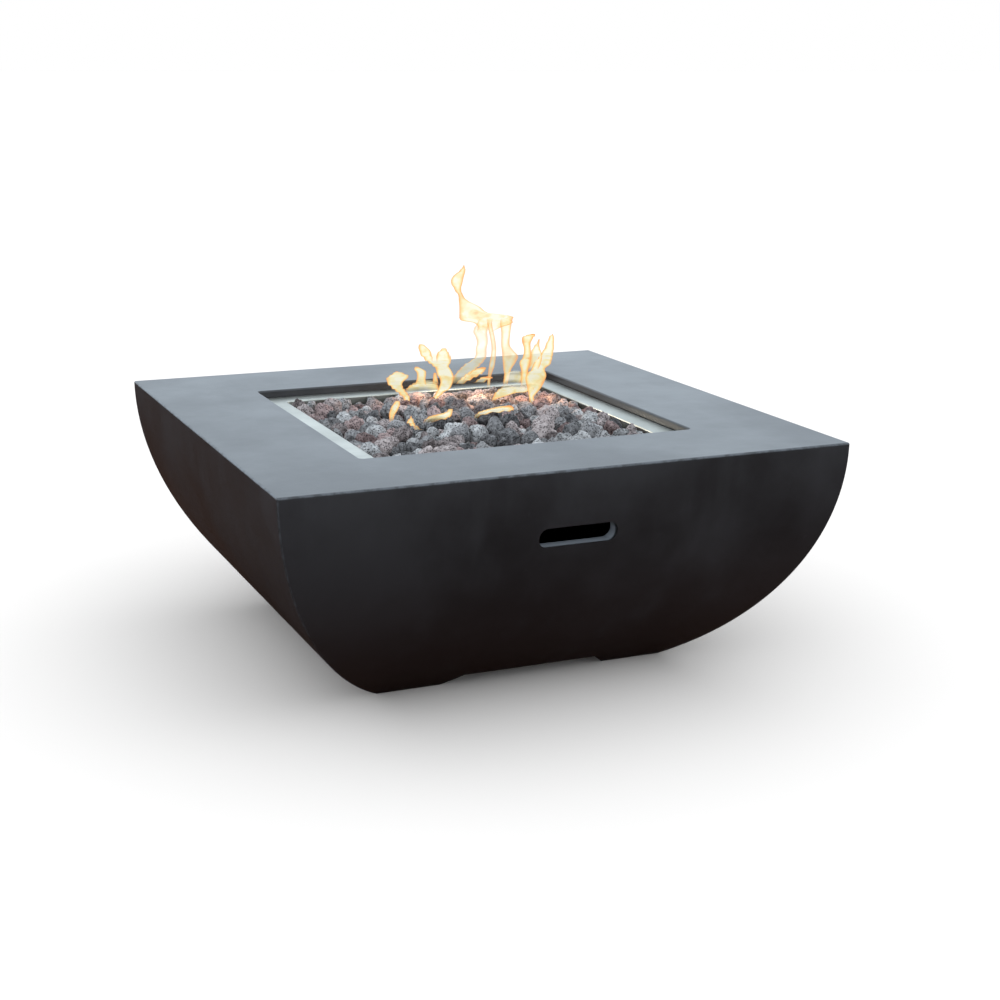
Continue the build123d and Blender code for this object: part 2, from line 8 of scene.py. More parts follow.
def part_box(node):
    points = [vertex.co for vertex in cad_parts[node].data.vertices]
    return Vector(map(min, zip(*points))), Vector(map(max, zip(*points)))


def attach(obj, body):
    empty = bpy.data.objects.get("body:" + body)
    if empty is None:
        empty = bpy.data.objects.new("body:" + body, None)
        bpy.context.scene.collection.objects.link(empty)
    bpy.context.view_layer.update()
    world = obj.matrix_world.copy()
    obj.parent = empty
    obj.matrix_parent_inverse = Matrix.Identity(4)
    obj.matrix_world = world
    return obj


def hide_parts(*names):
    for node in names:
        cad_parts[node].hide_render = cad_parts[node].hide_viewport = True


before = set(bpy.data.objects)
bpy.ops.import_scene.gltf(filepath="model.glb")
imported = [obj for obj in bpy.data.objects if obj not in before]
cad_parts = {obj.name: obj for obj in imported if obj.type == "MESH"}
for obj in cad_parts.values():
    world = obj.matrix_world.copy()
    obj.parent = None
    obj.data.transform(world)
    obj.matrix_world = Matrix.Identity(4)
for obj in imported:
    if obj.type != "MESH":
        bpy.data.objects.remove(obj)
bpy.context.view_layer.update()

# ---- The view --------------------------------------------------------------------------------
# The bowl is seen from its front left, by someone standing about three metres away and looking
# slightly down on the top. The lens is a short telephoto, so the sides converge only a little.
bowl_low, bowl_high = [Vector(corner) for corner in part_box("bowl_shell")]
bowl_width = bowl_high.x - bowl_low.x
bowl_top = bowl_high.z
view_heading = radians(-23.43)
view_tilt = radians(14.58)
view_roll = radians(0.35)

camera = bpy.data.objects.new("camera", bpy.data.cameras.new("camera"))
camera.data.sensor_width = 36.0
camera.data.lens = 62.6
camera.location = (-1.180 * bowl_width, -2.892 * bowl_width, bowl_top + 0.641 * bowl_width)
turn = Matrix.Rotation(view_heading, 3, "Z") @ Matrix.Rotation(pi / 2 - view_tilt, 3, "X")
camera.rotation_euler = (turn @ Matrix.Rotation(view_roll, 3, "Z")).to_euler()
bpy.context.collection.objects.link(camera)
scene = bpy.context.scene
scene.camera = camera
scene.view_settings.view_transform = "Standard"

# ---- Studio: pale floor, white surround ------------------------------------------------------
# A seamless white studio under one big, slightly blue ceiling. What the lights and reflections meet
# of the floor is a dark warm sheet, so that the sides that curve under stay as dark as charcoal does.
world = bpy.data.worlds.new("studio")
scene.world = world
world.use_nodes = True
world_nodes, world_links = world.node_tree.nodes, world.node_tree.links
ceiling = world_nodes["Background"]
ceiling.inputs["Color"].default_value = (0.85, 0.98, 1.10, 1.0)
ceiling.inputs["Strength"].default_value = 1.48
backdrop = world_nodes.new("ShaderNodeBackground")
backdrop.inputs["Color"].default_value = (1.0, 1.0, 1.0, 1.0)
seen_or_lit = world_nodes.new("ShaderNodeMixShader")
world_path = world_nodes.new("ShaderNodeLightPath")
world_links.new(world_path.outputs["Is Camera Ray"], seen_or_lit.inputs["Fac"])
world_links.new(ceiling.outputs["Background"], seen_or_lit.inputs[1])
world_links.new(backdrop.outputs["Background"], seen_or_lit.inputs[2])
world_links.new(seen_or_lit.outputs["Shader"], world_nodes["World Output"].inputs["Surface"])

floor_reach = 60.0
floor_mesh = bpy.data.meshes.new("studio_floor")
floor_mesh.from_pydata(
    [(-floor_reach, -floor_reach, 0), (floor_reach, -floor_reach, 0),
     (floor_reach, floor_reach, 0), (-floor_reach, floor_reach, 0)],
    [], [(0, 1, 2, 3)],
)
studio_floor = bpy.data.objects.new("studio_floor", floor_mesh)
bpy.context.collection.objects.link(studio_floor)
floor_paint = bpy.data.materials.new("studio_floor_paint")
floor_paint.use_nodes = True
floor_nodes, floor_links = floor_paint.node_tree.nodes, floor_paint.node_tree.links
pale_sheet = floor_nodes.new("ShaderNodeBsdfDiffuse")
pale_sheet.inputs["Color"].default_value = (0.90, 0.78, 0.695, 1.0)
dark_sheet = floor_nodes.new("ShaderNodeBsdfDiffuse")
dark_sheet.inputs["Color"].default_value = (0.060, 0.028, 0.018, 1.0)
sheets = floor_nodes.new("ShaderNodeMixShader")
floor_path = floor_nodes.new("ShaderNodeLightPath")
floor_links.new(floor_path.outputs["Is Camera Ray"], sheets.inputs["Fac"])
floor_links.new(dark_sheet.outputs["BSDF"], sheets.inputs[1])
floor_links.new(pale_sheet.outputs["BSDF"], sheets.inputs[2])
floor_links.new(sheets.outputs["Shader"], floor_nodes["Material Output"].inputs["Surface"])
floor_mesh.materials.append(floor_paint)

# ---- Bowl ------------------------------------------------------------------------------------
# Glass-fibre concrete, cast face down in a smooth mould, through-coloured charcoal and sealed with
# a satin sealer. It has cloudy mottling and faint upright streaks where the mix ran down the mould.
# Painted into its colour are a warm bounce light towards the bottom, a highlight along the arrises,
# which are also rubbed pale, and a pale light inside the hand slots.
concrete = bpy.data.materials.new("charcoal_concrete")
concrete.use_nodes = True
concrete_nodes = concrete.node_tree.nodes
concrete_links = concrete.node_tree.links
sealer = concrete_nodes["Principled BSDF"]
sealer.inputs["Specular IOR Level"].default_value = 0.5
place = concrete_nodes.new("ShaderNodeNewGeometry").outputs["Position"]


def concrete_noise(scale, detail, roughness=0.5, stretch=None):
    """A grain of the concrete, given by how many of its lumps lie in a metre."""
    grain = concrete_nodes.new("ShaderNodeTexNoise")
    grain.inputs["Scale"].default_value = scale
    grain.inputs["Detail"].default_value = detail
    grain.inputs["Roughness"].default_value = roughness
    source = place
    if stretch:
        pull = concrete_nodes.new("ShaderNodeMapping")
        pull.inputs["Scale"].default_value = stretch
        concrete_links.new(place, pull.inputs["Vector"])
        source = pull.outputs["Vector"]
    concrete_links.new(source, grain.inputs["Vector"])
    return grain.outputs["Fac"]


def concrete_math(operation, first, second=None):
    """One step of arithmetic; a number goes straight into its socket."""
    step = concrete_nodes.new("ShaderNodeMath")
    step.operation = operation
    for socket, value in zip(step.inputs, (first, second)):
        if isinstance(value, (int, float)):
            socket.default_value = value
        elif value is not None:
            concrete_links.new(value, socket)
    return step.outputs["Value"]


def concrete_fade(value, start, end, low=0.0, high=1.0):
    """Fades from low to high while the value goes from start to end, with soft ends."""
    fade = concrete_nodes.new("ShaderNodeMapRange")
    fade.interpolation_type = "SMOOTHSTEP"
    concrete_links.new(value, fade.inputs["Value"])
    fade.inputs["From Min"].default_value = start
    fade.inputs["From Max"].default_value = end
    fade.inputs["To Min"].default_value = low
    fade.inputs["To Max"].default_value = high
    return fade.outputs["Result"]


def concrete_coat(factor, under, over):
    """Lays one colour over another; a colour is a socket or three numbers."""
    coat = concrete_nodes.new("ShaderNodeMix")
    coat.data_type = "RGBA"
    concrete_links.new(factor, coat.inputs["Factor"])
    for socket, colour in ((coat.inputs["A"], under), (coat.inputs["B"], over)):
        if isinstance(colour, tuple):
            socket.default_value = (*colour, 1)
        else:
            concrete_links.new(colour, socket)
    return coat.outputs["Result"]


axes = concrete_nodes.new("ShaderNodeSeparateXYZ")
concrete_links.new(place, axes.inputs["Vector"])
side_x = concrete_math("ABSOLUTE", axes.outputs["X"])
side_y = concrete_math("ABSOLUTE", axes.outputs["Y"])
height = axes.outputs["Z"]

clouds = concrete_noise(4.2, 6.0, 0.62)
specks = concrete_noise(46.0, 5.0, 0.7)
streaks = concrete_noise(1.0, 4.0, 0.55, stretch=(15.0, 15.0, 1.6))
dark_charcoal = (0.0175, 0.0160, 0.0164)
pale_charcoal = (0.0340, 0.0318, 0.0328)
body_colour = concrete_coat(concrete_fade(clouds, 0.34, 0.68), dark_charcoal, pale_charcoal)
# Painted light: a warm bounce light painted into the charcoal, stronger towards the bottom.
bounce_light_low = concrete_fade(height, 0.02, 0.75 * bowl_top, 1.0, 0.0)
bounce_lit_charcoal = (0.0280, 0.0165, 0.0145)
body_colour = concrete_coat(concrete_math("MULTIPLY", bounce_light_low, 0.8), body_colour, bounce_lit_charcoal)
streak_share = concrete_math("MULTIPLY", concrete_fade(streaks, 0.52, 0.74), 0.30)
body_colour = concrete_coat(streak_share, body_colour, (0.055, 0.053, 0.054))
speck_share = concrete_math("MULTIPLY", concrete_fade(specks, 0.62, 0.78), 0.22)
body_colour = concrete_coat(speck_share, body_colour, (0.068, 0.067, 0.069))

# The arrises, paler from rubbed wear and from a painted edge highlight: round the top's outer edge, and
# down the four creases.
half = bowl_width / 2
outward = concrete_math("MAXIMUM", side_x, side_y)
near_rim = concrete_math("MULTIPLY", concrete_fade(outward, half - 0.0034, half - 0.0008),
                         concrete_fade(height, bowl_top - 0.0042, bowl_top - 0.0012))
off_crease = concrete_math("ABSOLUTE", concrete_math("SUBTRACT", side_x, side_y))
on_side = concrete_fade(height, bowl_top - 0.004, bowl_top - 0.008)
near_crease = concrete_math("MULTIPLY", concrete_fade(off_crease, 0.0036, 0.0006), on_side)
arris_wear_and_highlight = concrete_math("MAXIMUM", near_rim, concrete_math("MULTIPLY", near_crease, 0.45))
rubbed_and_highlit = concrete_math("MULTIPLY", arris_wear_and_highlight, concrete_fade(concrete_noise(70.0, 4.0, 0.7), 0.36, 0.60))
body_colour = concrete_coat(concrete_math("MULTIPLY", rubbed_and_highlit, 0.6), body_colour, (0.140, 0.146, 0.157))

# Painted light inside the two hand slots: a pale grey-blue for the light that their lower lip catches.
slot_drop = 0.0965
slot_half_width = 0.0605
slot_half_height = 0.0150
slot_face = 0.4135
in_slot = concrete_math("MULTIPLY", concrete_fade(side_x, slot_half_width + 0.0004, slot_half_width),
                        concrete_fade(side_y, slot_face + 0.0015, slot_face - 0.002))
slot_height = concrete_math("ABSOLUTE", concrete_math("SUBTRACT", height, bowl_top - slot_drop))
in_slot = concrete_math("MULTIPLY", in_slot,
                        concrete_fade(slot_height, slot_half_height + 0.0004, slot_half_height))
behind_slot = concrete_fade(side_y, half - 0.05, half - 0.046)
slot_painted_light = concrete_math("MULTIPLY", in_slot, behind_slot)
# Painted light: the slot insides are coloured a pale, lit grey-blue.
body_colour = concrete_coat(slot_painted_light, body_colour, (0.300, 0.310, 0.330))
concrete_links.new(body_colour, sealer.inputs["Base Color"])

satin = concrete_math("ADD", concrete_fade(clouds, 0.3, 0.7, 0.28, 0.38),
                      concrete_math("MULTIPLY", slot_painted_light, 0.35))
concrete_links.new(satin, sealer.inputs["Roughness"])
grit_bump = concrete_nodes.new("ShaderNodeBump")
grit_bump.inputs["Strength"].default_value = 0.22
grit_bump.inputs["Distance"].default_value = 0.0004
concrete_links.new(concrete_noise(420.0, 3.0), grit_bump.inputs["Height"])
trowel_bump = concrete_nodes.new("ShaderNodeBump")
trowel_bump.inputs["Strength"].default_value = 0.16
trowel_bump.inputs["Distance"].default_value = 0.0016
concrete_links.new(concrete_noise(22.0, 3.0), trowel_bump.inputs["Height"])
concrete_links.new(grit_bump.outputs["Normal"], trowel_bump.inputs["Normal"])
concrete_links.new(trowel_bump.outputs["Normal"], sealer.inputs["Normal"])


def finish_nodes(material, *names):
    """Puts one finish on the named parts of the frame."""
    for name in names:
        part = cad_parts[name]
        part.data.materials.clear()
        part.data.materials.append(material)


finish_nodes(concrete, "bowl_shell")

# ---- Burner pan ------------------------------------------------------------------------------
# A square pan folded from 1.5 mm stainless sheet, hung by its flange on a ledge of the opening. The
# sheet is brushed one way, with a little straw heat tint in cloudy patches all over.
stainless = bpy.data.materials.new("brushed_stainless")
stainless.use_nodes = True
stainless_nodes, stainless_links = stainless.node_tree.nodes, stainless.node_tree.links
steel = stainless_nodes["Principled BSDF"]
steel.inputs["Metallic"].default_value = 1.0
steel.inputs["Anisotropic"].default_value = 0.35
steel_place = stainless_nodes.new("ShaderNodeNewGeometry").outputs["Position"]
steel_clouds = stainless_nodes.new("ShaderNodeTexNoise")
steel_clouds.inputs["Scale"].default_value = 11.0
steel_clouds.inputs["Detail"].default_value = 5.0
stainless_links.new(steel_place, steel_clouds.inputs["Vector"])
steel_tone = stainless_nodes.new("ShaderNodeValToRGB")
steel_tone.color_ramp.elements[0].position = 0.34
steel_tone.color_ramp.elements[0].color = (0.340, 0.338, 0.298, 1)
steel_tone.color_ramp.elements[1].position = 0.68
steel_tone.color_ramp.elements[1].color = (0.500, 0.492, 0.440, 1)
stainless_links.new(steel_clouds.outputs["Fac"], steel_tone.inputs["Fac"])
brush_stretch = stainless_nodes.new("ShaderNodeMapping")
brush_stretch.inputs["Scale"].default_value = (14.0, 900.0, 900.0)
stainless_links.new(steel_place, brush_stretch.inputs["Vector"])
brush = stainless_nodes.new("ShaderNodeTexNoise")
brush.inputs["Scale"].default_value = 1.0
brush.inputs["Detail"].default_value = 4.0
stainless_links.new(brush_stretch.outputs["Vector"], brush.inputs["Vector"])
brush_shade = stainless_nodes.new("ShaderNodeMapRange")
brush_shade.inputs["From Min"].default_value = 0.3
brush_shade.inputs["From Max"].default_value = 0.7
brush_shade.inputs["To Min"].default_value = 0.82
brush_shade.inputs["To Max"].default_value = 1.12
stainless_links.new(brush.outputs["Fac"], brush_shade.inputs["Value"])
lined = stainless_nodes.new("ShaderNodeMix")
lined.data_type = "RGBA"
lined.blend_type = "MULTIPLY"
lined.inputs["Factor"].default_value = 1.0
stainless_links.new(steel_tone.outputs["Color"], lined.inputs["A"])
stainless_links.new(brush_shade.outputs["Result"], lined.inputs["B"])
stainless_links.new(lined.outputs["Result"], steel.inputs["Base Color"])
brushed = stainless_nodes.new("ShaderNodeMapRange")
brushed.inputs["To Min"].default_value = 0.24
brushed.inputs["To Max"].default_value = 0.44
stainless_links.new(brush.outputs["Fac"], brushed.inputs["Value"])
stainless_links.new(brushed.outputs["Result"], steel.inputs["Roughness"])
brush_bump = stainless_nodes.new("ShaderNodeBump")
brush_bump.inputs["Strength"].default_value = 0.15
brush_bump.inputs["Distance"].default_value = 0.0002
stainless_links.new(brush.outputs["Fac"], brush_bump.inputs["Height"])
stainless_links.new(brush_bump.outputs["Normal"], steel.inputs["Normal"])
finish_nodes(stainless, "burner_pan", "burner_ring", "sensor_bracket", "control_panel")

# ---- Lava rocks ------------------------------------------------------------------------------
# Tumbled volcanic rock, 17 to 35 mm, poured loose over the burner and heaped a little in the
# middle. Each rock is a rounded, lumpy, pitted pebble: sooty grey over the burner, browner outside.
pan_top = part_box("burner_pan")[1][2]
bed_low, bed_high = [Vector(corner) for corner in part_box("lava_rocks")]
bed_half = (bed_high.x - bed_low.x) / 2
bed_depth = 0.050
bed_rest = pan_top - bed_depth
flange_top = pan_top
heap_rise = 0.010
wall_drop = 0.012
chance = random.Random(41)


def bed_surface(x, y):
    """Height of the poured bed: a low heap that falls to under the flange at the walls."""
    out = max(abs(x), abs(y)) / bed_half
    backward = max(0.0, (x + y) / (2 * bed_half))
    return flange_top - 0.003 + heap_rise * (1 - out**2) - wall_drop * backward * out**3


rocks = []
smallest_radius = 0.0082
radius_spread = 0.0078
rock_pitch = 0.0222
layer_height = 0.015
stray = 0.006
poured_share = 0.88
bed_rows = int(2 * bed_half / rock_pitch)
for layer in range(3):
    stagger = 0.5 + 0.25 * (layer % 2)
    for row in range(bed_rows):
        for column in range(bed_rows):
            radius = smallest_radius + radius_spread * chance.random()**1.4
            x = -bed_half + (column + stagger) * rock_pitch + chance.uniform(-stray, stray)
            y = -bed_half + (row + stagger) * rock_pitch + chance.uniform(-stray, stray)
            z = bed_rest + (layer + 0.5) * layer_height
            if chance.random() < poured_share:
                rocks.append([x, y, z, radius])

# The rocks shove each other apart and settle between the pan walls, under the surface of the heap.
largest_gap = 0.036
settle_drop = 0.0004
for settle in range(40):
    cells = {}
    for number, rock in enumerate(rocks):
        key = (int(rock[0] // largest_gap), int(rock[1] // largest_gap))
        cells.setdefault(key, []).append(number)
    for (column, row), members in cells.items():
        near = [
            other for across in (-1, 0, 1) for along in (-1, 0, 1)
            for other in cells.get((column + across, row + along), ())
        ]
        for number in members:
            rock = rocks[number]
            for other in near:
                if other <= number:
                    continue
                mate = rocks[other]
                dx, dy, dz = rock[0] - mate[0], rock[1] - mate[1], rock[2] - mate[2]
                gap = sqrt(dx * dx + dy * dy + dz * dz) + 1e-9
                overlap = 0.97 * (rock[3] + mate[3]) - gap
                if overlap > 0:
                    push = 0.42 * overlap / gap
                    rock[0] += dx * push
                    rock[1] += dy * push
                    rock[2] += dz * push
                    mate[0] -= dx * push
                    mate[1] -= dy * push
                    mate[2] -= dz * push
    for rock in rocks:
        room = bed_half - 0.90 * rock[3]
        rock[0] = max(-room, min(room, rock[0]))
        rock[1] = max(-room, min(room, rock[1]))
        lid = bed_surface(rock[0], rock[1]) - 0.45 * rock[3]
        rock[2] = max(bed_rest, min(lid, rock[2] - settle_drop))


def pebble(seed, fineness):
    """One rock of unit radius: a rounded lump, pressed out of round, with broken gas pits."""
    ball = bmesh.new()
    bmesh.ops.create_icosphere(ball, subdivisions=fineness, radius=1.0)
    away = Vector((seed * 7.31, seed * 3.17, seed * 5.53))
    squash = Vector((1.12, 0.94 + 0.12 * sin(seed * 2.1), 0.78 + 0.12 * sin(seed * 3.7)))
    for corner in ball.verts:
        way = corner.co.normalized()
        lump = noise.noise(way * 1.1 + away) * 0.26
        facet = noise.noise(way * 2.6 + away * 1.7) * 0.16
        blister = noise.voronoi(way * 3.4 + away * 2.3)[0][0]
        pit = -0.16 * max(0.0, 0.34 - blister)
        crumb = noise.noise(way * 8.0 + away) * 0.055
        fine_crumb = noise.noise(way * 17.0 + away) * 0.025
        corner.co = way * (1.0 + lump + facet + pit + crumb + fine_crumb)
        corner.co.x *= squash.x
        corner.co.y *= squash.y
        corner.co.z *= squash.z
    points = [corner.co.copy() for corner in ball.verts]
    faces = [[corner.index for corner in face.verts] for face in ball.faces]
    ball.free()
    return points, faces


plain_pebbles = [pebble(seed, 4) for seed in range(1, 15)]
coarse_pebbles = [pebble(seed, 3) for seed in range(1, 15)]

# Each kind: its dark and pale colour, its share over the burner, and its share near the walls.
rock_kinds = {
    "lava_rocks_charcoal": ((0.060, 0.055, 0.055), (0.360, 0.338, 0.330), 0.36, 0.22),
    "lava_rocks_ash": ((0.110, 0.104, 0.102), (0.600, 0.570, 0.550), 0.32, 0.20),
    "lava_rocks_brown": ((0.095, 0.072, 0.068), (0.520, 0.430, 0.405), 0.22, 0.42),
    "lava_rocks_rust": ((0.110, 0.070, 0.065), (0.480, 0.345, 0.320), 0.10, 0.16),
}


def rock_material(name, dark, pale):
    """Porous rock: cloudy colour that differs from rock to rock, pores with painted shade in their pits,
    fully matt.
    """
    rock_skin = bpy.data.materials.new(name)
    rock_skin.use_nodes = True
    nodes, links = rock_skin.node_tree.nodes, rock_skin.node_tree.links
    skin = nodes["Principled BSDF"]
    skin.inputs["Roughness"].default_value = 0.92
    skin.inputs["Specular IOR Level"].default_value = 0.3
    geometry = nodes.new("ShaderNodeNewGeometry")
    spot = geometry.outputs["Position"]
    cloud = nodes.new("ShaderNodeTexNoise")
    cloud.inputs["Scale"].default_value = 120.0
    cloud.inputs["Detail"].default_value = 9.0
    cloud.inputs["Roughness"].default_value = 0.75
    links.new(spot, cloud.inputs["Vector"])
    each = nodes.new("ShaderNodeMapRange")
    each.inputs["To Min"].default_value = -0.16
    each.inputs["To Max"].default_value = 0.16
    links.new(geometry.outputs["Random Per Island"], each.inputs["Value"])
    varied = nodes.new("ShaderNodeMath")
    varied.operation = "ADD"
    links.new(cloud.outputs["Fac"], varied.inputs[0])
    links.new(each.outputs["Result"], varied.inputs[1])
    colours = nodes.new("ShaderNodeValToRGB")
    colours.color_ramp.elements[0].position = 0.30
    colours.color_ramp.elements[0].color = (*dark, 1)
    colours.color_ramp.elements[1].position = 0.70
    colours.color_ramp.elements[1].color = (*pale, 1)
    links.new(varied.outputs["Value"], colours.inputs["Fac"])
    pores = nodes.new("ShaderNodeTexVoronoi")
    pores.inputs["Scale"].default_value = 330.0
    pores.inputs["Randomness"].default_value = 1.0
    links.new(spot, pores.inputs["Vector"])
    pore_depth_and_shade = nodes.new("ShaderNodeMapRange")
    pore_depth_and_shade.inputs["From Min"].default_value = 0.16
    pore_depth_and_shade.inputs["From Max"].default_value = 0.46
    pore_depth_and_shade.inputs["To Min"].default_value = 0.12
    links.new(pores.outputs["Distance"], pore_depth_and_shade.inputs["Value"])
    # The pits are painted dark as shade in them, as well as bumped in.
    shaded = nodes.new("ShaderNodeMix")
    shaded.data_type = "RGBA"
    shaded.blend_type = "MULTIPLY"
    shaded.inputs["Factor"].default_value = 0.85
    links.new(colours.outputs["Color"], shaded.inputs["A"])
    links.new(pore_depth_and_shade.outputs["Result"], shaded.inputs["B"])
    links.new(shaded.outputs["Result"], skin.inputs["Base Color"])
    pitted = nodes.new("ShaderNodeBump")
    pitted.inputs["Strength"].default_value = 1.0
    pitted.inputs["Distance"].default_value = 0.0016
    links.new(pore_depth_and_shade.outputs["Result"], pitted.inputs["Height"])
    rough = nodes.new("ShaderNodeBump")
    rough.inputs["Strength"].default_value = 0.8
    rough.inputs["Distance"].default_value = 0.0015
    links.new(cloud.outputs["Fac"], rough.inputs["Height"])
    links.new(pitted.outputs["Normal"], rough.inputs["Normal"])
    links.new(rough.outputs["Normal"], skin.inputs["Normal"])
    return rock_skin


kind_points = {name: [] for name in rock_kinds}
kind_faces = {name: [] for name in rock_kinds}
kind_names = list(rock_kinds)
for x, y, z, radius in rocks:
    outside = min(1.0, max(abs(x), abs(y)) / bed_half)
    weights = [kind[2] + (kind[3] - kind[2]) * outside for kind in rock_kinds.values()]
    name = chance.choices(kind_names, weights)[0]
    buried = (bed_surface(x, y) - z) / radius
    pebbles = plain_pebbles if buried < 1.6 else coarse_pebbles
    points, faces = chance.choice(pebbles)
    spin = Euler([chance.uniform(0, 2 * pi) for axis in range(3)]).to_matrix()
    size = 1.10 * radius
    first = len(kind_points[name])
    centre = Vector((x, y, z))
    kind_points[name].extend(centre + spin @ (point * size) for point in points)
    kind_faces[name].extend([first + index for index in face] for face in faces)
for name, (dark, pale, *_) in rock_kinds.items():
    rock_mesh = bpy.data.meshes.new(name)
    rock_mesh.from_pydata(kind_points[name], [], kind_faces[name])
    rock_mesh.shade_smooth()
    rock_mesh.materials.append(rock_material(name + "_skin", dark, pale))
    rock_piece = bpy.data.objects.new(name, rock_mesh)
    bpy.context.collection.objects.link(rock_piece)
    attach(rock_piece, "bowl")
    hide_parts("lava_rocks")

# ---- Fire ------------------------------------------------------------------------------------
# Yellow gas flames over the far side of the burner ring. Fire isn't a part of the bowl, so it only
# stands in the studio, with warm lamps in it. Each tongue is one curved sheet of hot gas.
flame_skin = bpy.data.materials.new("gas_flame")
flame_skin.use_nodes = True
flame_nodes, flame_links = flame_skin.node_tree.nodes, flame_skin.node_tree.links
flame_nodes.remove(flame_nodes["Principled BSDF"])
inside_flame = flame_nodes.new("ShaderNodeAttribute")
inside_flame.attribute_name = "flame_inside"
flicker = flame_nodes.new("ShaderNodeTexNoise")
flicker.inputs["Scale"].default_value = 52.0
flicker.inputs["Detail"].default_value = 2.0
flicker_spot = flame_nodes.new("ShaderNodeTexCoord")
flame_links.new(flicker_spot.outputs["Object"], flicker.inputs["Vector"])
hot_share = flame_nodes.new("ShaderNodeMath")
hot_share.operation = "MULTIPLY_ADD"
hot_share.inputs[1].default_value = 2.3
flame_links.new(flicker.outputs["Fac"], hot_share.inputs[0])
hot_share.inputs[2].default_value = -0.36
hottest = flame_nodes.new("ShaderNodeMath")
hottest.operation = "MULTIPLY"
flame_links.new(inside_flame.outputs["Fac"], hottest.inputs[0])
flame_links.new(hot_share.outputs["Value"], hottest.inputs[1])
flame_colour = flame_nodes.new("ShaderNodeValToRGB")
flame_colour.color_ramp.elements[0].position = 0.0
flame_colour.color_ramp.elements[0].color = (1.0, 0.40, 0.13, 1)
flame_colour.color_ramp.elements[1].position = 0.95
flame_colour.color_ramp.elements[1].color = (1.0, 0.97, 0.76, 1)
flame_rim = flame_colour.color_ramp.elements.new(0.28)
flame_rim.color = (1.0, 0.68, 0.27, 1)
flame_body = flame_colour.color_ramp.elements.new(0.60)
flame_body.color = (1.0, 0.88, 0.46, 1)
flame_links.new(hottest.outputs["Value"], flame_colour.inputs["Fac"])
flame_thickness = flame_nodes.new("ShaderNodeAttribute")
flame_thickness.attribute_name = "flame_thickness"
glowing = flame_nodes.new("ShaderNodeEmission")
glowing.inputs["Strength"].default_value = 1.02
flame_links.new(flame_colour.outputs["Color"], glowing.inputs["Color"])
seen_flame = flame_nodes.new("ShaderNodeMath")
seen_flame.operation = "MULTIPLY"
flame_path = flame_nodes.new("ShaderNodeLightPath")
flame_links.new(flame_path.outputs["Is Camera Ray"], seen_flame.inputs[0])
flame_links.new(flame_thickness.outputs["Fac"], seen_flame.inputs[1])
flame_mix = flame_nodes.new("ShaderNodeMixShader")
flame_links.new(seen_flame.outputs["Value"], flame_mix.inputs["Fac"])
flame_links.new(flame_nodes.new("ShaderNodeBsdfTransparent").outputs["BSDF"], flame_mix.inputs[1])
flame_links.new(glowing.outputs["Emission"], flame_mix.inputs[2])
flame_links.new(flame_mix.outputs["Shader"], flame_nodes["Material Output"].inputs["Surface"])

